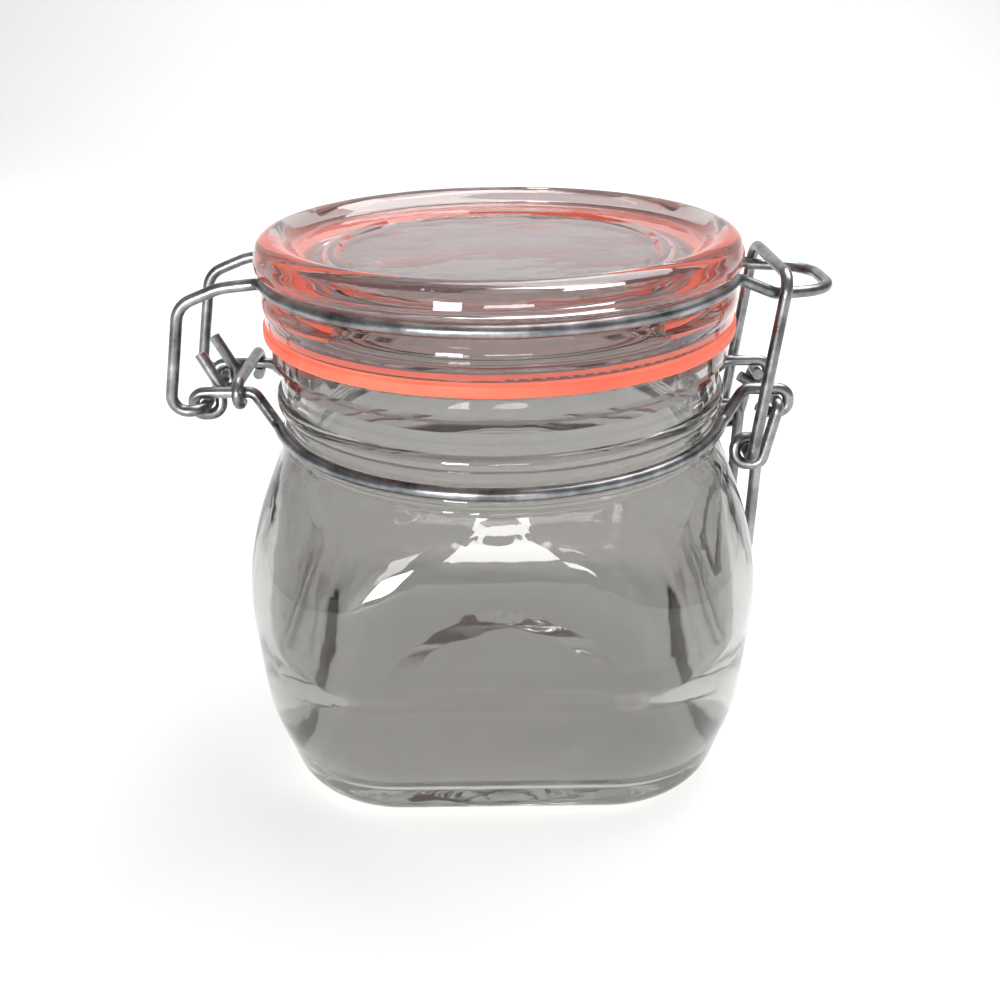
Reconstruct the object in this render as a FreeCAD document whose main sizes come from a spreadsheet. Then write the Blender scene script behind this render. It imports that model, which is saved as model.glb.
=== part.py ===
"""A half-litre wire-bail canning jar: square glass jar, glass lid, rubber gasket and wire closure.

Frame: millimetres, +Z up, origin at the centre of the base on the table. The hinge is at -X and the
latch at +X, and the closure is symmetrical about the plane Y = 0. The lid is shut and latched.
"""
import math
import os

import FreeCAD
import Part
import Sketcher
from FreeCAD import Vector

SIZES = {
    # jar body: a square with rounded corners that turns round at the neck
    "body_half": 48.7,          # half the width of the flat sides at the waist
    "body_corner": 26.0,        # corner radius there
    "base_half": 37.6,          # half the width of the flat under the jar
    "base_corner": 19.0,
    "heel_half": 43.9,          # half the width where the rounded heel meets the side
    "heel_corner": 24.0,
    "heel_height": 7.0,
    "waist_height": 42.0,       # the widest level
    "shoulder_height": 65.5,    # where the body ends and the round neck starts
    "wall": 3.6,                # glass on the sides
    "floor": 5.0,               # glass at the base
    "punt_radius": 27.0,        # shallow hollow under the base
    "punt_depth": 1.4,
    "punt_cut": 1.0,            # how far below the base the cut for it starts
    # neck
    "neck_radius": 44.2,        # root of the wire groove
    "neck_wall": 4.6,           # glass at the neck
    "mouth_step": 1.4,          # how far the mouth stands in from the neck's bore
    "ring_rise": 3.5,           # shoulder to the centre line of the neck wire
    "bead_height": 3.4,         # the bead over the wire
    "bead_round": 1.85,
    "ring_gap": 2.1,            # between the neck wire and the bead over it
    "ridge_height": 1.5,        # each of the two ridges under the wire
    "ridge_round": 0.85,
    "ridge_gap": 0.6,           # between the two ridges
    "ridge_drop": 0.25,         # between the neck wire and the upper ridge
    "shoulder_inset": 0.3,      # the body's last section inside the neck's own radius
    "least_flat": 0.6,          # half the flat left on that section's sides
    "neck_lap": 1.8,            # how far the neck reaches down into the shoulder
    "rim_rise": 17.8,           # neck wire to the sealing face under the gasket
    "rim_out": 1.4,             # rim out from the neck
    "rim_band": 4.4,
    "rim_flare": 1.2,           # height over which the neck widens to the rim
    "rim_edge": 0.8,
    "mouth_taper": 2.8,         # height over which the bore narrows to the mouth
    # gasket
    "gasket_over": 1.4,         # its edge out from the rim
    "gasket_inset": 0.4,        # its bore out from the mouth
    "gasket": 2.4,              # thickness, squeezed
    "gasket_round": 0.6,
    # lid
    "skirt_inset": 0.5,         # skirt inside the gasket's edge
    "skirt_height": 7.7,
    "skirt_edge": 1.0,
    "skirt_bead": 3.6,
    "bead_shift": 0.5,          # the skirt's bead above the middle of the skirt
    "skirt_taper": 0.3,         # how much the skirt narrows under the wire groove
    "groove_lip": 0.7,
    "groove_play": 0.1,         # between the lid wire and each side of its groove
    "groove_depth": 1.1,        # root of the lid wire's groove inside the skirt
    "lid_over": 1.4,            # widest part of the rim outside the skirt
    "lid_rim_edge": 1.0,
    "lid_height": 17.1,         # seat to crest
    "crest_height": 4.3,        # crest down to the widest part of the rim
    "crest_inset": 3.3,         # crest inside the widest part
    "crest_round": 3.4,         # outwards from the crest to the rim's edge
    "crest_roll": 4.7,          # inwards from the crest to the recess wall
    "edge_drop": 1.55,          # the rim's edge below the crest
    "edge_inset": 0.7,          # and inside the widest part
    "side_round": 10.0,         # from that edge down to the widest part
    "recess_inset": 9.3,        # foot of the recess wall inside the widest part
    "recess_round": 3.0,        # hollow round at the foot of the recess wall
    "wall_run": 2.35,           # where the two rounds of that wall meet: out from its foot
    "wall_rise": 1.15,          # and up
    "recess": 2.9,              # crest to recessed disc
    "disc_band": 7.2,           # foot of the recess wall to the step ring on the disc
    "disc_step": 0.7,
    "lid_glass": 4.0,
    "plug_gap": 1.4,            # locating lip inside the gasket's bore
    "plug_depth": 1.4,
    "plug_lip": 1.8,            # thickness of that lip
    "plug_draft": 0.6,
    "plug_round": 4.2,          # width of the round between the lip and the disc
    # wire closure
    "wire": 2.3,
    "play": 0.2,                # running clearance of a wire eye round its pin
    "bend": 3.0,                # usual bend radius of a wire
    "tight_bend": 1.6,
    "soft_bend": 5.0,
    "long_bend": 12.0,          # where an arm runs on into the lid ring
    "eye_slack": 0.15,          # the bends of an eye are smaller than its radius by this
    "hinge_reach": 14.3,        # pivot bar: out from the neck, and over the neck wire
    "hinge_rise": 3.6,
    "arm_gap": 1.3,             # between the lid wire's arm and the neck wire's arm beside it
    "arm_out": 1.5,             # foot of an arm beyond the two bends that lead to it
    "arm_lean": 3.4,            # how much nearer the jar its top bend is
    "arm_drop": 4.2,            # lid ring down to the top bend
    "arm_knee": 2.0,            # shift of the long bend from halfway along the arm
    "neck_arm": 9.2,            # half the spacing of the neck wires' hinge arms
    "stub_rise": 9.6,           # cut end of a hinge eye over the pivot bar
    "stub_lean": 1.2,
    "tie_out": 7.4,             # tie wire, out from the neck
    "tie_tail": 0.8,
    "latch_out": 5.4,           # lever pivot: out from the bail's pivot, and over the neck wire
    "latch_rise": 3.0,
    "latch_arm": 9.0,           # half the spacing of the neck wires' latch hooks
    "hook_rise": 1.5,           # how far a hook's tail turns up again
    "leg_gap": 0.6,             # between the lever's leg and the hook beside it
    "neck_room": 4.0,           # least room for the lever outside the neck
    "link_inset": 1.05,         # bail's pivot: in from the lever's handle, and under its pivot
    "link_drop": 10.1,
    "lever_length": 42.0,       # from the lever's pivot down to its end
    "lever_gap": 0.6,           # between the lever and the glass
    "bail_gap": 0.8,            # between the bail's leg and the lever's leg beside it
    "bail_round": 3.8,
    "bail_lift": 1.65,          # room over the tab for the lever to pass its dead centre
    "bail_tail": 1.2,           # how far each pin stands in from the lever's eye
    "seat_out": 4.9,            # where the bail crosses the tab, out from the bail's pivot
    "tab_out": 10.3,            # tip of the lid wire's latch tab, out from there
    "tab_drop": 3.35,           # lid ring down to the tab
    "tab_half": 9.2,
    "tab_root": 5.0,            # the tab's root, out from the lid ring
    "tab_taper": 0.6,
    "tab_flare": 4.0,
    "tab_bend": 8.2,
}

doc = FreeCAD.newDocument("canning_jar")
sheet = doc.addObject("Spreadsheet::Sheet", "Sizes")
for row, (name, number) in enumerate(SIZES.items(), start=1):
    sheet.set("A%d" % row, name)
    sheet.set("B%d" % row, str(number))
    sheet.setAlias("B%d" % row, name)
doc.recompute()


def terms(text):
    """Split 'a + 2*b - c' into (factor, alias or number) pairs."""
    sign = 1.0
    for word in text.split():
        if word in "+-":
            sign = 1.0 if word == "+" else -1.0
            continue
        factor, _, alias = word.rpartition("*")
        yield sign * float(factor or 1), alias


def size(text):
    """The number that a sum of cells and plain numbers stands for."""
    return sum(factor * (getattr(sheet, alias) if alias in SIZES else float(alias))
               for factor, alias in terms(text))


def formula(text):
    """The same sum as an expression that FreeCAD keeps bound to the sheet."""
    return " + ".join("(%g) * %s" % (factor, "Sizes." + alias if alias in SIZES else alias)
                      for factor, alias in terms(text))


def scaled(share, text):
    """The same sum with every term multiplied."""
    return " + ".join("%g*%s" % (share * factor, alias) for factor, alias in terms(text))


def opposite(text):
    """The same sum with its sign turned, for the hinge side or the front."""
    return scaled(-1, text)


# ---------------------------------------------------------------- sketch helpers

def origin_plane(body, role):
    """One of the planes that a body carries."""
    return next(item for item in body.Origin.OriginFeatures if item.Role == role)


def new_sketch(body, name, role, level=None):
    """A sketch on one of the body's own planes, lifted to a level that is a sum of cells."""
    sketch = body.newObject("Sketcher::SketchObject", name)
    sketch.AttachmentSupport = [(origin_plane(body, role), "")]
    sketch.MapMode = "FlatFace"
    if level is not None:
        sketch.AttachmentOffset = FreeCAD.Placement(Vector(0, 0, size(level)), FreeCAD.Rotation())
        sketch.setExpression("AttachmentOffset.Base.z", formula(level))
    return sketch


def bind(sketch, kind, *parts):
    """Add a dimension whose last part is a sum of cells, and bind it to them."""
    index = sketch.addConstraint(Sketcher.Constraint(kind, *parts[:-1], size(parts[-1])))
    sketch.setExpression("Constraints[%d]" % index, formula(parts[-1]))


def place_corner(sketch, curve, end, across, along):
    """Fix a corner of an outline to its two coordinates."""
    for axis, kind, text in ((-2, "DistanceX", across), (-1, "DistanceY", along)):
        if text == "0":
            sketch.addConstraint(Sketcher.Constraint("PointOnObject", curve, end, axis))
        else:
            bind(sketch, kind, -1, 1, curve, end, text)


def arc_between(start, stop, radius, left):
    """An arc from start to stop whose centre is to the left or the right of the way there."""
    chord = stop - start
    rise = math.sqrt(max(radius ** 2 - (chord.Length / 2) ** 2, 0))
    side = Vector(-chord.y, chord.x, 0).normalize() * (rise if left else -rise)
    centre = (start + stop) * 0.5 + side
    first, last = (start, stop) if left else (stop, start)
    angles = [math.atan2(point.y - centre.y, point.x - centre.x) for point in (first, last)]
    return Part.ArcOfCircle(Part.Circle(centre, Vector(0, 0, 1), radius), *angles)


def outline(sketch, corners):
    """A closed outline. A corner is (across, along), or (across, along, side, radius) where an arc
    leads from it to the next corner with its centre on that side."""
    points = [Vector(size(corner[0]), size(corner[1]), 0) for corner in corners]
    ends = []
    for index, corner in enumerate(corners):
        start, stop = points[index], points[(index + 1) % len(points)]
        if len(corner) == 2:
            sketch.addGeometry(Part.LineSegment(start, stop))
            ends.append((1, 2))
            continue
        left = corner[2] == "left"
        sketch.addGeometry(arc_between(start, stop, size(corner[3]), left))
        ends.append((1, 2) if left else (2, 1))
    for index, corner in enumerate(corners):
        before = index - 1 if index else len(corners) - 1
        sketch.addConstraint(Sketcher.Constraint("Coincident", before, ends[before][1],
                                                 index, ends[index][0]))
        place_corner(sketch, index, ends[index][0], corner[0], corner[1])
        if len(corner) == 4:
            bind(sketch, "Radius", index, corner[3])


def rounded_square(sketch, half, corner):
    """A square of the given half width with tangent corner arcs, centred on the origin."""
    width, radius = size(half), size(corner)
    flat = width - radius
    for turn in range(4):
        spin = FreeCAD.Rotation(Vector(0, 0, 1), 90 * turn)
        start, stop = spin.multVec(Vector(width, -flat, 0)), spin.multVec(Vector(width, flat, 0))
        centre = spin.multVec(Vector(flat, flat, 0))
        sketch.addGeometry(Part.LineSegment(start, stop))
        sketch.addGeometry(Part.ArcOfCircle(Part.Circle(centre, Vector(0, 0, 1), radius),
                                            math.pi / 2 * turn, math.pi / 2 * (turn + 1)))
    for turn in range(4):
        line, arc, after = 2 * turn, 2 * turn + 1, (2 * turn + 2) % 8
        sketch.addConstraint(Sketcher.Constraint("Tangent", line, 2, arc, 1))
        sketch.addConstraint(Sketcher.Constraint("Tangent", arc, 2, after, 1))
        sketch.addConstraint(Sketcher.Constraint("Horizontal" if turn % 2 else "Vertical", line))
    for arc in (3, 5, 7):
        sketch.addConstraint(Sketcher.Constraint("Equal", 1, arc))
    bind(sketch, "Radius", 1, corner)
    bind(sketch, "DistanceX", -1, 1, 0, 1, half)
    bind(sketch, "DistanceY", -1, 1, 2, 1, half)
    bind(sketch, "DistanceX", 4, 1, -1, 1, half)
    bind(sketch, "DistanceY", 6, 1, -1, 1, half)


def revolve(body, kind, name, corners):
    """Turn an outline of (radius, height) corners round the body's Z axis."""
    sketch = new_sketch(body, name + "Outline", "XZ_Plane")
    outline(sketch, corners)
    feature = body.newObject("PartDesign::" + kind, name)
    feature.Profile = sketch
    feature.ReferenceAxis = (sketch, ["V_Axis"])
    feature.Angle = 360
    body.Tip = feature
    doc.recompute()
    return feature


# ---------------------------------------------------------------- glass and rubber

HEEL = ((0.1, 0.38), (0.4, 0.75))       # share of the heel's height, share of its widening
SIDE = ((0.4, 0.57, 0.6), (0.7, 0.86, 0.9))         # share of the height, of the width, of the corner
SHOULDER = ((0.5, 0.25, 0.4), (0.8, 0.75, 0.75))


def blend(first, last, share):
    """The sum that lies a share of the way from one cell to another."""
    return "%g*%s + %g*%s" % (1 - share, first, share, last)


NECK_BORE = "neck_radius - neck_wall"
MOUTH_BORE = NECK_BORE + " - mouth_step"
RIM_RADIUS = "neck_radius + rim_out"
RING_LEVEL = "shoulder_height + ring_rise"
RIM_LEVEL = RING_LEVEL + " + rim_rise"


def body_sections():
    """Level, half width and corner radius up the body, from the base to just under the neck."""
    sections = [("0", "base_half", "base_corner")]
    for rise, widening in HEEL:
        sections.append(("%g*heel_height" % rise, blend("base_half", "heel_half", widening),
                         blend("base_corner", "heel_corner", widening)))
    sections.append(("heel_height", "heel_half", "heel_corner"))
    for rise, widening, rounding in SIDE:
        sections.append(("%g*waist_height" % rise, blend("heel_half", "body_half", widening),
                         blend("heel_corner", "body_corner", rounding)))
    sections.append(("waist_height", "body_half", "body_corner"))
    for rise, narrowing, rounding in SHOULDER:
        sections.append((blend("waist_height", "shoulder_height", rise),
                         blend("body_half", "neck_radius", narrowing),
                         blend("body_corner", "neck_radius", rounding)))
    return sections


def last_section(radius):
    """The nearly round section just inside the neck's own radius."""
    half = radius + " - shoulder_inset"
    return "shoulder_height", half, half + " - least_flat"


def loft(body, kind, name, sections):
    """Blend rounded squares at rising levels into one skin."""
    sketches = []
    for index, (level, half, corner) in enumerate(sections):
        sketch = new_sketch(body, "%sSection%d" % (name, index), "XY_Plane", level)
        rounded_square(sketch, half, corner)
        sketches.append(sketch)
    doc.recompute()
    feature = body.newObject("PartDesign::" + kind, name)
    feature.Profile = sketches[0]
    feature.Sections = sketches[1:]
    feature.Ruled = False
    body.Tip = feature
    doc.recompute()
    return feature


def hollow_sections(outside):
    """The same sections a wall's thickness further in, starting on the glass floor."""
    heel = len(HEEL) + 1
    sections = [
        ("floor", "base_half - wall", "base_corner - wall"),
        ("floor + 0.1*heel_height", blend("base_half", "heel_half", 0.5) + " - wall",
         blend("base_corner", "heel_corner", 0.5) + " - wall"),
    ]
    for level, half, corner in outside[heel:]:
        sections.append((level, half + " - wall", corner + " - wall"))
    return sections


def neck_outline():
    """Section of the neck: two ridges under the wire, a bead over it, a flared rim and a bore that
    narrows to the mouth."""
    foot, bead = "shoulder_height - neck_lap", RING_LEVEL + " + 0.5*wire + ring_gap"
    upper = RING_LEVEL + " - 0.5*wire - ridge_drop - ridge_height"
    lower = upper + " - ridge_gap - ridge_height"
    band, flare = RIM_LEVEL + " - rim_band", RIM_LEVEL + " - rim_band - rim_flare"
    edge = RIM_LEVEL + " - rim_edge"
    return [
        (NECK_BORE, foot),
        ("neck_radius", foot),
        ("neck_radius", lower, "left", "ridge_round"),
        ("neck_radius", lower + " + ridge_height"),
        ("neck_radius", upper, "left", "ridge_round"),
        ("neck_radius", upper + " + ridge_height"),
        ("neck_radius", bead, "left", "bead_round"),
        ("neck_radius", bead + " + bead_height"),
        ("neck_radius", flare),
        (RIM_RADIUS, band),
        (RIM_RADIUS, edge),
        (RIM_RADIUS + " - rim_edge", RIM_LEVEL),
        (MOUTH_BORE + " + rim_edge", RIM_LEVEL),
        (MOUTH_BORE, edge),
        (MOUTH_BORE, flare),
        (NECK_BORE, flare + " - mouth_taper"),
    ]


def make_jar():
    """Square body lofted to the neck, neck with a bead and a sealing rim, hollow inside."""
    body = doc.addObject("PartDesign::Body", "jar_glass")
    outside = body_sections()
    loft(body, "AdditiveLoft", "Outside", outside + [last_section("neck_radius")])
    loft(body, "SubtractiveLoft", "Inside", hollow_sections(outside) + [last_section(NECK_BORE)])
    revolve(body, "Revolution", "Neck", neck_outline())
    revolve(body, "Groove", "Punt", [
        ("0", "0 - punt_cut"),
        ("punt_radius", "0 - punt_cut"),
        ("punt_radius", "0"),
        ("0.8*punt_radius", "0.7*punt_depth"),
        ("0.5*punt_radius", "punt_depth"),
        ("0", "punt_depth"),
    ])
    return body


SEAT = RIM_LEVEL + " + gasket"
GASKET_RADIUS = RIM_RADIUS + " + gasket_over"
GASKET_BORE = MOUTH_BORE + " + gasket_inset"
SKIRT = GASKET_RADIUS + " - skirt_inset"
LID_ROOT = SKIRT + " - groove_depth"
LID_WIRE_LEVEL = SEAT + " + skirt_height + 0.5*wire + groove_play"


def make_gasket():
    """Flat rubber ring with softened outer corners."""
    body = doc.addObject("PartDesign::Body", "gasket")
    revolve(body, "Revolution", "Ring", [
        (GASKET_BORE, RIM_LEVEL),
        (GASKET_RADIUS + " - gasket_round", RIM_LEVEL, "left", "gasket_round"),
        (GASKET_RADIUS, RIM_LEVEL + " + gasket_round"),
        (GASKET_RADIUS, SEAT + " - gasket_round", "left", "gasket_round"),
        (GASKET_RADIUS + " - gasket_round", SEAT),
        (GASKET_BORE, SEAT),
    ])
    return body


def make_lid():
    """Glass lid: locating lip, beaded skirt, wire groove, raised rim and a recessed stepped disc."""
    body = doc.addObject("PartDesign::Body", "lid_glass")
    top = SEAT + " + lid_height"
    disc = top + " - recess - disc_step"
    groove = SEAT + " + skirt_height"
    above_groove = groove + " + wire + 2*groove_play"
    plug = GASKET_BORE + " - plug_gap"
    inner = plug + " - plug_lip"
    rim = SKIRT + " + lid_over"
    recess = rim + " - recess_inset"
    ring = recess + " - disc_band"
    bead = SEAT + " + 0.5*skirt_height + bead_shift"
    revolve(body, "Revolution", "Profile", [
        ("0", disc + " - lid_glass"),
        (inner + " - plug_round", disc + " - lid_glass", "right", "lid_glass"),
        (inner + " - plug_draft", disc + " - 1.75*lid_glass"),
        (inner, SEAT + " - plug_depth"),
        (plug + " - 0.5*plug_draft", SEAT + " - plug_depth"),
        (plug, SEAT),
        (SKIRT + " - skirt_edge", SEAT, "left", "skirt_edge"),
        (SKIRT, SEAT + " + skirt_edge"),
        (SKIRT, bead + " - 0.5*skirt_bead", "left", "skirt_bead"),
        (SKIRT, bead + " + 0.5*skirt_bead"),
        (SKIRT + " - skirt_taper", groove + " - groove_lip"),
        (LID_ROOT, groove),
        (LID_ROOT, above_groove),
        (rim + " - lid_rim_edge", above_groove + " + 0.4*lid_rim_edge", "left", "1.2*lid_rim_edge"),
        (rim, above_groove + " + 1.4*lid_rim_edge"),
        (rim, top + " - crest_height", "left", "side_round"),
        (rim + " - edge_inset", top + " - edge_drop", "left", "crest_round"),
        (rim + " - crest_inset", top, "left", "crest_roll"),
        (recess + " + wall_run", top + " - recess + wall_rise", "right", "recess_round"),
        (recess, top + " - recess"),
        (ring, top + " - recess"),
        (ring + " - disc_step", disc),
        ("0", disc),
    ])
    return body


# ---------------------------------------------------------------- bent wire

def spot(across, along, up):
    """A point whose three coordinates are sums of cells."""
    return Vector(size(across), size(along), size(up))


def bent_route(points, bends):
    """Straight runs joined by tangent arcs: one bend radius for each inner point."""
    edges = []
    here = points[0]
    for before, corner, after, radius in zip(points, points[1:], points[2:], bends):
        back, onward = (before - corner).normalize(), (after - corner).normalize()
        half_turn = (math.pi - back.getAngle(onward)) / 2
        trim = radius * math.tan(half_turn)
        inward = (back + onward).normalize()
        middle = corner + inward * (radius / math.cos(half_turn) - radius)
        start, stop = corner + back * trim, corner + onward * trim
        if (start - here).dot(-back) < -1e-6:
            raise ValueError("a bend is too large for its run near %s" % corner)
        if (start - here).Length > 1e-6:
            edges.append(Part.LineSegment(here, start).toShape())
        edges.append(Part.Arc(start, middle, stop).toShape())
        here = stop
    if (points[-1] - here).Length > 1e-6:
        edges.append(Part.LineSegment(here, points[-1]).toShape())
    return Part.Wire(edges)


def ring_corners(radius, level, first_y, last_y, pieces=3):
    """Corners whose bends, of the ring's own radius, follow its front half from the hinge side to
    the latch side, with the angles where it starts and ends. first_y and last_y say how far in
    front of Y = 0 those ends are."""
    start = math.pi + math.asin(first_y / radius)
    sweep = 2 * math.pi - math.asin(last_y / radius) - start
    step = sweep / pieces
    corners = []
    for piece in range(pieces):
        angle = start + (piece + 0.5) * step
        reach = radius / math.cos(step / 2)
        corners.append(Vector(reach * math.cos(angle), reach * math.sin(angle), level))
    return corners, start, start + sweep


def leave_ring(radius, level, angle, towards_y, forward):
    """The point on the ring's tangent at an angle where it reaches the given Y."""
    point = Vector(radius * math.cos(angle), radius * math.sin(angle), level)
    along = Vector(-math.sin(angle), math.cos(angle), 0) * (1 if forward else -1)
    return point + along * ((towards_y - point.y) / along.y)


def sweep_wire(name, route):
    """A round wire along a route: a circle bound to the wire size, swept as a solid."""
    path = doc.addObject("Part::Feature", name + "_route")
    path.Shape = route
    section = doc.addObject("Part::Circle", name + "_section")
    section.Radius = size("0.5*wire")
    section.setExpression("Radius", formula("0.5*wire"))
    first = route.Edges[0]
    start = first.valueAt(first.FirstParameter)
    heading = first.tangentAt(first.FirstParameter)
    if (start - route.OrderedVertexes[0].Point).Length > 1e-6:
        start, heading = first.valueAt(first.LastParameter), heading * -1
    section.Placement = FreeCAD.Placement(start, FreeCAD.Rotation(Vector(0, 0, 1), heading))
    sweep = doc.addObject("Part::Sweep", name)
    sweep.Sections = [section]
    sweep.Spine = (path, ["Edge%d" % (number + 1) for number in range(len(route.Edges))])
    sweep.Solid = True
    sweep.Frenet = False
    doc.recompute()
    return sweep


def mirrored(source, name):
    """The same piece on the other side of the plane Y = 0."""
    copy = doc.addObject("Part::Mirroring", name)
    copy.Source = source
    copy.Normal = Vector(0, 1, 0)
    doc.recompute()
    return copy


def both_sides(name, route):
    """One wire whose two halves meet in the plane Y = 0."""
    half = sweep_wire(name + "_half", route)
    whole = doc.addObject("Part::MultiFuse", name)
    whole.Shapes = [half, mirrored(half, name + "_other_half")]
    whole.Refine = True
    doc.recompute()
    return whole


EYE = "wire + play"     # a wire's centre line round a pin of the same wire
HINGE_AXIS = "neck_radius + hinge_reach"
HINGE_LEVEL = RING_LEVEL + " + hinge_rise"
LID_ARM = "neck_arm + wire + arm_gap"
LEVER_ARM = "latch_arm + wire + leg_gap"
BAIL_ARM = LEVER_ARM + " + wire + bail_gap"
# The lever hangs outside the flat side, or outside the neck where that stands out further.
OUTERMOST = max("body_half", "neck_radius + neck_room", key=size)
HANDLE = OUTERMOST + " + lever_gap + 0.5*wire"
LINK_AXIS = HANDLE + " - link_inset"
LATCH_AXIS = LINK_AXIS + " + latch_out"
LATCH_LEVEL = RING_LEVEL + " + latch_rise"
LINK_LEVEL = LATCH_LEVEL + " - link_drop"
BAIL_SEAT = LINK_AXIS + " + seat_out"
TAB_TIP = BAIL_SEAT + " + tab_out"


def make_lid_wire():
    """Ring in the lid's groove, with the hinge loop at one side and the latch tab at the other."""
    radius, level = size(LID_ROOT + " + 0.5*wire"), size(LID_WIRE_LEVEL)
    arm, bend = size(LID_ARM), size("bend")
    hinge, front = opposite(HINGE_AXIS), opposite(LID_ARM)
    foot = hinge + " - 2*wire - arm_out"
    tab_level = LID_WIRE_LEVEL + " - tab_drop"
    corners, start, stop = ring_corners(radius, level, arm + bend, arm + bend)
    points = [
        spot(hinge, "0", HINGE_LEVEL),
        spot(hinge, front, HINGE_LEVEL),
        spot(foot, front, HINGE_LEVEL),
        spot(foot + " + arm_lean", front, LID_WIRE_LEVEL + " - arm_drop"),
        spot(scaled(0.5, foot) + " + " + scaled(-0.5, LID_ROOT) + " + arm_knee", front,
             LID_WIRE_LEVEL + " - 0.2*arm_drop"),
        leave_ring(radius, level, start, -arm, False),
        *corners,
        leave_ring(radius, level, stop, -arm, True),
        spot(LID_ROOT + " + wire + tab_root", front + " + tab_taper", tab_level),
        spot(TAB_TIP, "0 - tab_half", tab_level),
        spot(TAB_TIP, "0", tab_level),
    ]
    ring = [radius] * len(corners)
    bends = [size("1.04*wire"), bend, size("soft_bend"), size("long_bend"), bend, *ring, bend,
             size("tab_flare"), size("tab_bend")]
    return both_sides("lid_wire", bent_route(points, bends))


def make_neck_wires():
    """Two half rings round the neck. Each ends in an eye round the hinge bar and in a hook that
    holds the lever's pin."""
    radius, level = size("neck_radius + 0.5*wire"), size(RING_LEVEL)
    hinge_arm, latch_arm, bend = size("neck_arm"), size("latch_arm"), size("bend")
    corners, start, stop = ring_corners(radius, level, hinge_arm + 2 * bend, latch_arm + 2 * bend)
    hinge, hook = opposite(HINGE_AXIS), LATCH_LEVEL + " - wire - play"
    hinge_top, hinge_under = HINGE_LEVEL + " + " + EYE, HINGE_LEVEL + " - wire - play"
    latch_top = LATCH_LEVEL + " + " + EYE
    lead_in = leave_ring(radius, level, start, -hinge_arm - bend, False)
    lead_out = leave_ring(radius, level, stop, -latch_arm - bend, True)
    points = [
        spot(hinge + " - stub_lean", "0 - neck_arm + 1.4*wire", HINGE_LEVEL + " + stub_rise"),
        spot(hinge + " + " + EYE, "0 - neck_arm + 1.3*wire", HINGE_LEVEL + " + 1.13*wire"),
        spot(hinge + " + " + EYE, "0 - neck_arm + 0.75*wire", hinge_under),
        spot(hinge + " - wire - play", "0 - neck_arm + 0.35*wire", hinge_under),
        spot(hinge + " - wire - play", "0 - neck_arm", hinge_top),
        Vector(-size("neck_radius + 2*wire"), -hinge_arm, size(hinge_top)),
        lead_in,
        *corners,
        lead_out,
        Vector(size("neck_radius + 1.8*wire"), -latch_arm, size(latch_top)),
        spot(LATCH_AXIS + " + " + EYE, "0 - latch_arm", latch_top),
        spot(LATCH_AXIS + " + " + EYE, "0 - latch_arm", hook),
        spot(LATCH_AXIS + " - 0.5*wire", "0 - latch_arm", hook),
        spot(LATCH_AXIS + " - 1.5*wire", "0 - latch_arm", hook + " + hook_rise"),
    ]
    turn, lead = size(EYE) - size("eye_slack"), size("1.09*wire")
    ring = [radius] * len(corners)
    bends = [size("0.87*wire"), 0.95 * turn, 0.95 * turn, turn, lead, lead, *ring, lead, lead, turn,
             0.95 * turn, size("hook_rise")]
    front = sweep_wire("neck_wire_front", bent_route(points, bends))
    rear = mirrored(front, "neck_wire_rear")
    return front, rear


def make_tie():
    """Short wire across the two hinge arms, hooked down round the outside of each."""
    over, under = HINGE_LEVEL + " + 2*wire + play", HINGE_LEVEL + " + play"
    place, side = "0 - neck_radius - tie_out", "0 - neck_arm - wire"
    points = [
        spot(place, "0", over),
        spot(place, side, over),
        spot(place, side, under),
        spot(place, "0 - neck_arm + tie_tail", under),
    ]
    turn = size("wire")
    return both_sides("tie_wire", bent_route(points, [turn, turn]))


def make_lever():
    """Handle loop with an eye in each leg for the bail and pins at the top for the neck hooks."""
    right, left = LINK_AXIS + " + " + EYE, LINK_AXIS + " - wire - play"
    top, bottom = LINK_LEVEL + " + " + EYE, LINK_LEVEL + " - wire - play"
    front, end = opposite(LEVER_ARM), LATCH_LEVEL + " - lever_length"
    points = [
        spot(HANDLE, "0", end),
        spot(HANDLE, front + " + 1.13*wire", end),
        spot(right, front + " + 1.09*wire", top),
        spot(left, front + " + 0.72*wire", top),
        spot(left, front + " + 0.36*wire", bottom),
        spot(right, front, bottom),
        spot(LATCH_AXIS, front, LATCH_LEVEL),
        spot(LATCH_AXIS, "0 - latch_arm + wire", LATCH_LEVEL),
    ]
    turn = size(EYE) - size("eye_slack")
    bends = [size("soft_bend"), turn, turn, turn, 0.9 * turn, size("tight_bend")]
    return both_sides("lever_wire", bent_route(points, bends))


def make_bail():
    """Flat U over the lid wire's tab, with its ends turned in through the lever's eyes."""
    top = LID_WIRE_LEVEL + " - tab_drop + wire + bail_lift"
    front = opposite(BAIL_ARM)
    points = [
        spot(BAIL_SEAT, "0", top),
        spot(BAIL_SEAT, front, top),
        spot(LINK_AXIS, front, LINK_LEVEL),
        spot(LINK_AXIS, opposite(LEVER_ARM) + " + wire + bail_tail", LINK_LEVEL),
    ]
    route = bent_route(points, [size("bail_round"), size("tight_bend")])
    return both_sides("bail_wire", route)


# ---------------------------------------------------------------- check and write

pieces = [make_jar(), make_gasket(), make_lid(), make_lid_wire(), *make_neck_wires(), make_tie(),
          make_lever(), make_bail()]
doc.recompute()
for item in doc.Objects:
    if "Invalid" in item.State or "Error" in item.State:
        raise RuntimeError("%s failed: %s" % (item.Name, item.State))
os.makedirs("parts", exist_ok=True)
for piece in pieces:
    shape = piece.Shape
    if shape.isNull() or not shape.isValid() or len(shape.Solids) != 1:
        raise RuntimeError("%s is not one valid solid: %d" % (piece.Label, len(shape.Solids)))
    shape.exportStep("parts/%s.step" % piece.Label)
    print("%-16s %10.1f mm3  %s" % (piece.Label, shape.Volume, shape.BoundBox))
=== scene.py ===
"""Looks for the canning jar: pressed glass, a rubber gasket and galvanised wire, on a pale floor."""
import math

import bpy
from mathutils import Matrix, Vector


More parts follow.
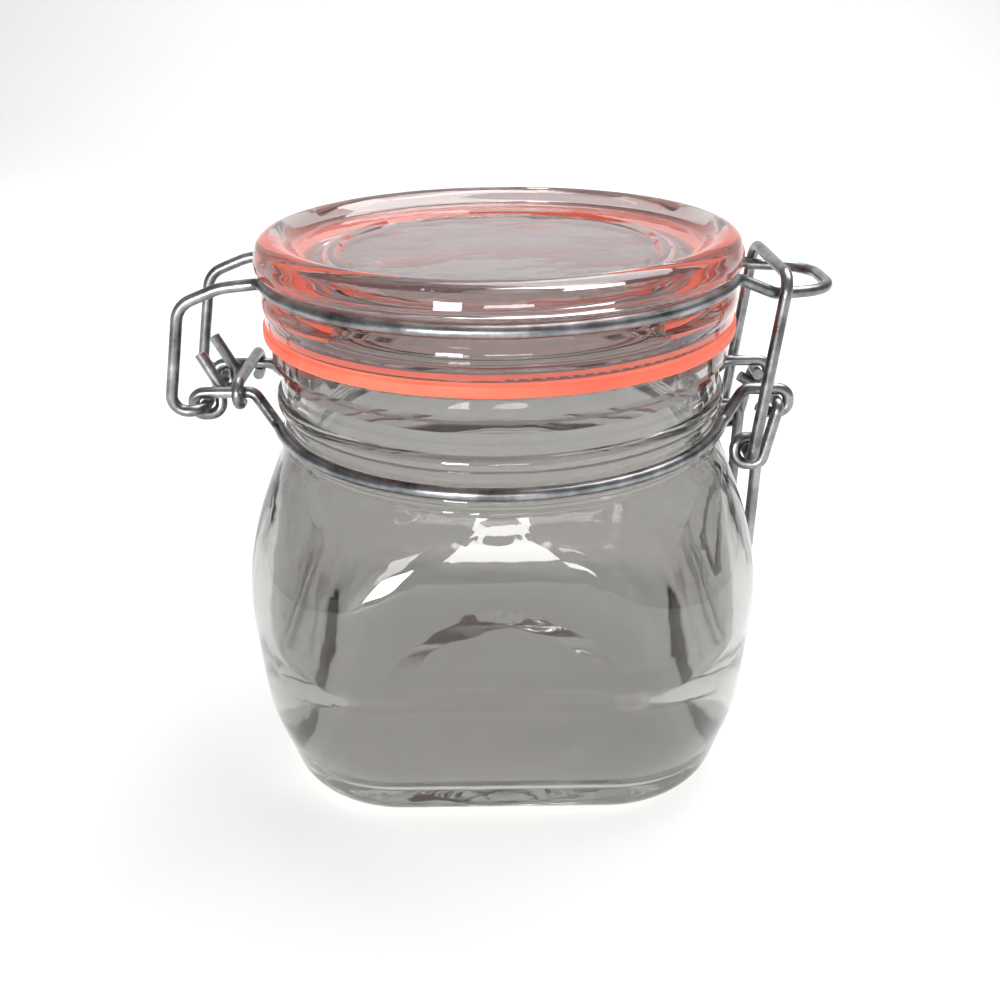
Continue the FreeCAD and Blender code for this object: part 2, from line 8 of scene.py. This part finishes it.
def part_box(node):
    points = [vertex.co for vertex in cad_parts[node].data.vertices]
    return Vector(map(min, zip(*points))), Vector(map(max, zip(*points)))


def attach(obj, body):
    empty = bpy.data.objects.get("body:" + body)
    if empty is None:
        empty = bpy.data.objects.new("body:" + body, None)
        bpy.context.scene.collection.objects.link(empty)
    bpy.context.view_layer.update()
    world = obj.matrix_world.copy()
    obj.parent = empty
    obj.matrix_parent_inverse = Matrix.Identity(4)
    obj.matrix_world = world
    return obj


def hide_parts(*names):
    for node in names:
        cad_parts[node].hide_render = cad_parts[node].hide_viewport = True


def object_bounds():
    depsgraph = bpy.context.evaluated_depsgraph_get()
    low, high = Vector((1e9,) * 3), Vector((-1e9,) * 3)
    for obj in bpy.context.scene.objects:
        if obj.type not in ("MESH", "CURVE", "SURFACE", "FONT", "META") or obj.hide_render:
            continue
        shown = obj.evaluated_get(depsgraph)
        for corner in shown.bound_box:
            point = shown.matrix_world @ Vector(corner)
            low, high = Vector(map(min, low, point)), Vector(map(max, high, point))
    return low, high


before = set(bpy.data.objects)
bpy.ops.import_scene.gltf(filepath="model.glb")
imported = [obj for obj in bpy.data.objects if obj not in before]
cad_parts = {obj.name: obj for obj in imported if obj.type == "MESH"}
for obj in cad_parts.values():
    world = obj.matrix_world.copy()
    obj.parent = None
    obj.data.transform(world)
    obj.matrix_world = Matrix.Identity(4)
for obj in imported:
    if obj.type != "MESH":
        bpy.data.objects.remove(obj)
cad_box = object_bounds()

WIRE_NODES = ("neck_wire_front", "neck_wire_rear", "tie_wire", "lid_wire", "lever_wire", "bail_wire")


class Shader:
    """A material's node tree, with short calls to add and join its nodes."""

    def __init__(self, name):
        self.material = bpy.data.materials.new(name)
        self.material.use_nodes = True
        self.tree = self.material.node_tree
        self.tree.nodes.clear()
        self.output = self.tree.nodes.new("ShaderNodeOutputMaterial")

    def add(self, kind):
        return self.tree.nodes.new("ShaderNode" + kind)

    def link(self, source, target):
        self.tree.links.new(source, target)

    def noise(self, scale, detail=3.0, roughness=0.5, stretch=(1, 1, 1)):
        """A noise texture in object space; its scale is in features for each metre."""
        mapping = self.add("Mapping")
        mapping.inputs["Scale"].default_value = stretch
        self.link(self.add("TexCoord").outputs["Object"], mapping.inputs["Vector"])
        node = self.add("TexNoise")
        node.inputs["Scale"].default_value = scale
        node.inputs["Detail"].default_value = detail
        node.inputs["Roughness"].default_value = roughness
        self.link(mapping.outputs["Vector"], node.inputs["Vector"])
        return node.outputs["Fac"]

    def ramp(self, factor, stops):
        """A colour ramp through (position, colour) stops."""
        node = self.add("ValToRGB")
        elements = node.color_ramp.elements
        for element, (position, colour) in zip(elements, (stops[0], stops[-1])):
            element.position = position
            element.color = (*colour, 1)
        for position, colour in stops[1:-1]:
            elements.new(position).color = (*colour, 1)
        self.link(factor, node.inputs["Fac"])
        return node.outputs["Color"]

    def span(self, factor, low, high):
        """Map a 0 to 1 factor onto a range."""
        node = self.add("MapRange")
        node.inputs["To Min"].default_value = low
        node.inputs["To Max"].default_value = high
        self.link(factor, node.inputs["Value"])
        return node.outputs["Result"]

    def bump(self, height, distance, normal=None):
        """Relief of a given depth in metres, on top of another relief if one is given."""
        node = self.add("Bump")
        node.inputs["Strength"].default_value = 1.0
        node.inputs["Distance"].default_value = distance
        self.link(height, node.inputs["Height"])
        if normal is not None:
            self.link(normal, node.inputs["Normal"])
        return node.outputs["Normal"]


GLASS_IOR = 1.5
GLASS_SPECULAR = 0.5
WAVE_SCALE = 38                             # slow waves from the mould
WAVE_STRETCH = (1, 1, 1.6)
WAVE_DEPTH = 0.00035
RIPPLE_SCALE = 190
RIPPLE_STRETCH = (1, 1, 0.6)
RIPPLE_DEPTH = 0.00003
MARK_SCALE = 420                            # faint marks from handling
MARK_SHADE = 0.97
MARK_ROUGHNESS = 0.045
LAMP_LIGHT_PASSED = (0.90, 0.905, 0.90, 1)  # the share of lamp light that crosses each face

# The photograph's glass shows the grey room it stood in. These tints stand in for that room: real
# clear glass is paler, and the lid's pink is the gasket's reflection in the photograph.
# Painted reflection: the grey in these tints and absorption colours stands in for the room, and the lid's
# pink stands in for the gasket.
JAR_TINT_AND_ROOM_REFLECTION = (0.54, 0.53, 0.515)
JAR_ABSORPTION = (0.66, 0.68, 0.65)
JAR_DENSITY = 24
LID_TINT_AND_GASKET_REFLECTION = (0.47, 0.39, 0.38)
LID_ABSORPTION = (0.76, 0.71, 0.70)
LID_DENSITY = 18


def glass_surface(shader, tint):
    """Smooth glass with slow waves, fine ripples and faint marks."""
    waves = shader.bump(shader.noise(WAVE_SCALE, 2, 0.45, WAVE_STRETCH), WAVE_DEPTH)
    ripples = shader.bump(shader.noise(RIPPLE_SCALE, 2, 0.5, RIPPLE_STRETCH), RIPPLE_DEPTH, waves)
    marks = shader.noise(MARK_SCALE, 4, 0.62)
    marked_tint = tuple(MARK_SHADE * part for part in tint)
    glass = shader.add("BsdfPrincipled")
    glass.inputs["Transmission Weight"].default_value = 1.0
    glass.inputs["IOR"].default_value = GLASS_IOR
    glass.inputs["Specular IOR Level"].default_value = GLASS_SPECULAR
    shader.link(shader.ramp(marks, ((0.35, tint), (0.7, marked_tint))), glass.inputs["Base Color"])
    shader.link(shader.span(marks, 0.0, MARK_ROUGHNESS), glass.inputs["Roughness"])
    shader.link(ripples, glass.inputs["Normal"])
    return glass.outputs["BSDF"]


def let_lamp_light_through(shader, surface):
    """The same surface, but lamp light crosses it in a straight line, so its shadow stays pale."""
    clear = shader.add("BsdfTransparent")
    clear.inputs["Color"].default_value = LAMP_LIGHT_PASSED
    choice = shader.add("MixShader")
    shader.link(shader.add("LightPath").outputs["Is Shadow Ray"], choice.inputs["Fac"])
    shader.link(surface, choice.inputs[1])
    shader.link(clear.outputs["BSDF"], choice.inputs[2])
    return choice.outputs["Shader"]


def pressed_glass(name, tint, absorption, density):
    """Pressed glass that darkens a little with its thickness."""
    shader = Shader(name)
    surface = let_lamp_light_through(shader, glass_surface(shader, tint))
    shader.link(surface, shader.output.inputs["Surface"])
    thickness = shader.add("VolumeAbsorption")
    thickness.inputs["Color"].default_value = (*absorption, 1)
    thickness.inputs["Density"].default_value = density
    shader.link(thickness.outputs["Volume"], shader.output.inputs["Volume"])
    return shader.material


RUBBER_COLOURS = ((0.3, (0.83, 0.13, 0.07)), (0.55, (0.95, 0.17, 0.095)), (0.8, (1.0, 0.26, 0.16)))
RUBBER_CLOUD_SCALE = 55
RUBBER_GRAIN_SCALE = 1500
RUBBER_GRAIN_DEPTH = 0.00004
RUBBER_ROUGHNESS = (0.38, 0.58)
RUBBER_GLOW = 0.12                          # the share of light that scatters inside it
RUBBER_GLOW_REACH = 0.0015


def gasket_rubber():
    """Coral rubber, cloudy in colour, with a fine grain."""
    shader = Shader("gasket_rubber")
    cloud = shader.noise(RUBBER_CLOUD_SCALE, 4, 0.6)
    grain = shader.noise(RUBBER_GRAIN_SCALE, 3, 0.6)
    rubber = shader.add("BsdfPrincipled")
    shader.link(shader.ramp(cloud, RUBBER_COLOURS), rubber.inputs["Base Color"])
    shader.link(shader.span(grain, *RUBBER_ROUGHNESS), rubber.inputs["Roughness"])
    shader.link(shader.bump(grain, RUBBER_GRAIN_DEPTH), rubber.inputs["Normal"])
    rubber.inputs["Subsurface Weight"].default_value = RUBBER_GLOW
    rubber.inputs["Subsurface Scale"].default_value = RUBBER_GLOW_REACH
    shader.link(rubber.outputs["BSDF"], shader.output.inputs["Surface"])
    return shader.material


ZINC_COLOURS = ((0.3, (0.10, 0.103, 0.106)), (0.5, (0.25, 0.254, 0.26)), (0.78, (0.52, 0.525, 0.535)))
ZINC_CLOUD_SCALE = 160
ZINC_CLOUD_DEPTH = 0.00012
ZINC_GRAIN_SCALE = 1900
ZINC_GRAIN_DEPTH = 0.00003
ZINC_ROUGHNESS = (0.2, 0.42)


def galvanised_wire():
    """Dull zinc-coated steel: cloudy grey, with a fine grain."""
    shader = Shader("galvanised_wire")
    cloud = shader.noise(ZINC_CLOUD_SCALE, 5, 0.62)
    grain = shader.noise(ZINC_GRAIN_SCALE, 3, 0.6)
    steel = shader.add("BsdfPrincipled")
    steel.inputs["Metallic"].default_value = 1.0
    shader.link(shader.ramp(cloud, ZINC_COLOURS), steel.inputs["Base Color"])
    shader.link(shader.span(cloud, *ZINC_ROUGHNESS), steel.inputs["Roughness"])
    relief = shader.bump(cloud, ZINC_CLOUD_DEPTH)
    shader.link(shader.bump(grain, ZINC_GRAIN_DEPTH, relief), steel.inputs["Normal"])
    shader.link(steel.outputs["BSDF"], shader.output.inputs["Surface"])
    return shader.material


def finish_node(name, material):
    """Give a CAD node its material."""
    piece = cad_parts[name]
    piece.data.materials.clear()
    piece.data.materials.append(material)


GASKET_CORNER = 0.0006      # round of the gasket's outer corners, cut of its inner ones
GASKET_CONTACT = 0.00005    # how far its faces reach into the glass they are pressed against
CORNER_STEPS = 8
RING_STEPS = 256


def corner_arc(centre, radius, start):
    """Points of a quarter turn round a corner's centre, from an angle onwards."""
    points = []
    for step in range(CORNER_STEPS + 1):
        angle = start + math.pi / 2 * step / CORNER_STEPS
        points.append((centre[0] + radius * math.cos(angle), centre[1] + radius * math.sin(angle)))
    return points


def add_mesh(name, corners, faces):
    """A smooth-shaded object in the scene, from its corners and faces."""
    mesh = bpy.data.meshes.new(name)
    mesh.from_pydata(corners, [], faces)
    mesh.polygons.foreach_set("use_smooth", [True] * len(faces))
    piece = bpy.data.objects.new(name, mesh)
    bpy.context.scene.collection.objects.link(piece)
    return piece


def turned_ring(name, outline):
    """A closed ring: an outline of (radius, height) points turned round the Z axis."""
    corners = []
    for step in range(RING_STEPS):
        angle = 2 * math.pi * step / RING_STEPS
        corners += [(out * math.cos(angle), out * math.sin(angle), up) for out, up in outline]
    count = len(outline)
    faces = []
    for step in range(RING_STEPS):
        here = step * count
        there = (step + 1) % RING_STEPS * count
        for point in range(count):
            after = (point + 1) % count
            faces.append((here + point, there + point, there + after, here + after))
    return add_mesh(name, corners, faces)


def make_gasket():
    """The rubber ring, pressed against both glasses with no film of air between."""
    low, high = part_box("gasket")
    outer = high[0]
    bore = min(math.hypot(point.co.x, point.co.y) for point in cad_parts["gasket"].data.vertices)
    bottom = low[2] - GASKET_CONTACT
    top = high[2] + GASKET_CONTACT
    outline = [(bore, top - GASKET_CORNER), (bore, bottom + GASKET_CORNER), (bore + GASKET_CORNER, bottom)]
    outline += corner_arc((outer - GASKET_CORNER, bottom + GASKET_CORNER), GASKET_CORNER, -math.pi / 2)
    outline += corner_arc((outer - GASKET_CORNER, top - GASKET_CORNER), GASKET_CORNER, 0)
    outline.append((bore + GASKET_CORNER, top))
    ring = turned_ring("gasket_ring", outline)
    ring.data.materials.append(gasket_rubber())
    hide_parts("gasket")
    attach(ring, "lid")


FLOOR_HALF = 0.8
FLOOR_GAP = 0.0001          # how far the floor lies under the base
SWEEP_RADIUS = 0.5
SWEEP_STEPS = 24
SWEEP_TOP = 1.6
PAPER_SCALE = 3
PAPER_SHADES = ((0.3, (0.88, 0.88, 0.88)), (0.7, (0.91, 0.91, 0.91)))
PAPER_ROUGHNESS = 0.9


def studio_paper():
    """Pale matt paper, a little uneven."""
    shader = Shader("studio_paper")
    paper = shader.add("BsdfPrincipled")
    shader.link(shader.ramp(shader.noise(PAPER_SCALE, 2), PAPER_SHADES), paper.inputs["Base Color"])
    paper.inputs["Roughness"].default_value = PAPER_ROUGHNESS
    shader.link(paper.outputs["BSDF"], shader.output.inputs["Surface"])
    return shader.material


def make_floor():
    """A pale sheet that lies flat under the jar and curves up behind it."""
    profile = [(-FLOOR_HALF, 0.0)]
    for step in range(SWEEP_STEPS + 1):
        angle = math.pi / 2 * step / SWEEP_STEPS
        profile.append((FLOOR_HALF + SWEEP_RADIUS * math.sin(angle), SWEEP_RADIUS * (1 - math.cos(angle))))
    profile.append((FLOOR_HALF + SWEEP_RADIUS, SWEEP_TOP))
    corners = [(side * 2 * FLOOR_HALF, along, up) for along, up in profile for side in (-1, 1)]
    faces = [(2 * row, 2 * row + 1, 2 * row + 3, 2 * row + 2) for row in range(len(profile) - 1)]
    floor = add_mesh("studio_sweep", corners, faces)
    floor.location.z = cad_box[0][2] - FLOOR_GAP
    floor.data.materials.append(studio_paper())


SURROUND_COLOUR = (0.95, 0.97, 1.0, 1)
SURROUND_STRENGTH = 0.30
JAR_MIDDLE = (0, 0, 0.06)
BACKDROP_MIDDLE = (0, 1.3, 0.1)


def soft_box(name, place, width, height, watts, target=JAR_MIDDLE):
    """A rectangular studio light, aimed at the jar unless told otherwise."""
    lamp = bpy.data.lights.new(name, "AREA")
    lamp.shape = "RECTANGLE"
    lamp.size = width
    lamp.size_y = height
    lamp.energy = watts
    item = bpy.data.objects.new(name, lamp)
    bpy.context.scene.collection.objects.link(item)
    item.location = place
    item.rotation_euler = (Vector(target) - Vector(place)).to_track_quat("-Z", "Y").to_euler()


def make_lights():
    """A dim surround, a broad box overhead, a wash on the backdrop, and two small boxes in front."""
    world = bpy.data.worlds.new("studio")
    bpy.context.scene.world = world
    world.use_nodes = True
    background = world.node_tree.nodes["Background"]
    background.inputs["Color"].default_value = SURROUND_COLOUR
    background.inputs["Strength"].default_value = SURROUND_STRENGTH
    soft_box("overhead", (0.32, 0.30, 1.05), width=1.0, height=0.8, watts=15.5)
    soft_box("backdrop_wash", (0.0, 0.45, 0.9), width=1.0, height=0.3, watts=2, target=BACKDROP_MIDDLE)
    soft_box("window", (-0.31, -0.78, 0.17), width=0.17, height=0.22, watts=4.5)
    soft_box("front_strip", (0.06, -0.85, 0.20), width=0.30, height=0.05, watts=0.7)


LIGHT_BOUNCES = 32          # the most turns a ray may take in all

# Blender counts each reflection inside the glass against a limit of its own. Left at 4, it ends rays
# that are still inside the lid's thick rim and the base, which leaves both black.
MIRROR_BOUNCES = 20


def set_view():
    """Plain colours, and rays long enough to get out of thick glass."""
    scene = bpy.context.scene
    scene.view_settings.view_transform = "Standard"
    scene.view_settings.exposure = 0.0
    scene.cycles.max_bounces = LIGHT_BOUNCES
    scene.cycles.transmission_bounces = LIGHT_BOUNCES
    scene.cycles.glossy_bounces = MIRROR_BOUNCES
    scene.cycles.transparent_max_bounces = LIGHT_BOUNCES


CAMERA_PLACE = (0.0, -0.220, 0.1506)
CAMERA_TILT = 0.3199        # down from level
CAMERA_ROLL = -0.0120
CAMERA_FOCUS = 1.129        # focal length over the picture's width
CAMERA_RISE = 0.138         # share of the picture by which the optical axis lies above its middle
CAMERA_NEAR = 0.01
SENSOR_WIDTH = 36.0


def make_camera():
    """The photograph's viewpoint: close, a little above the lid and looking down at the jar."""
    data = bpy.data.cameras.new("camera")
    data.sensor_width = SENSOR_WIDTH
    data.lens = SENSOR_WIDTH * CAMERA_FOCUS
    data.shift_y = -CAMERA_RISE
    data.clip_start = CAMERA_NEAR
    camera = bpy.data.objects.new("camera", data)
    bpy.context.scene.collection.objects.link(camera)
    pitch = Matrix.Rotation(math.pi / 2 - CAMERA_TILT, 4, "X")
    roll = Matrix.Rotation(CAMERA_ROLL, 4, "Z")
    camera.matrix_world = Matrix.Translation(CAMERA_PLACE) @ pitch @ roll
    bpy.context.scene.camera = camera


finish_node("jar_glass", pressed_glass("jar_pressed_glass", JAR_TINT_AND_ROOM_REFLECTION, JAR_ABSORPTION, JAR_DENSITY))
finish_node("lid_glass", pressed_glass("lid_pressed_glass", LID_TINT_AND_GASKET_REFLECTION, LID_ABSORPTION, LID_DENSITY))
make_gasket()
steel = galvanised_wire()
for wire in WIRE_NODES:
    finish_node(wire, steel)
make_floor()
make_lights()
set_view()
make_camera()
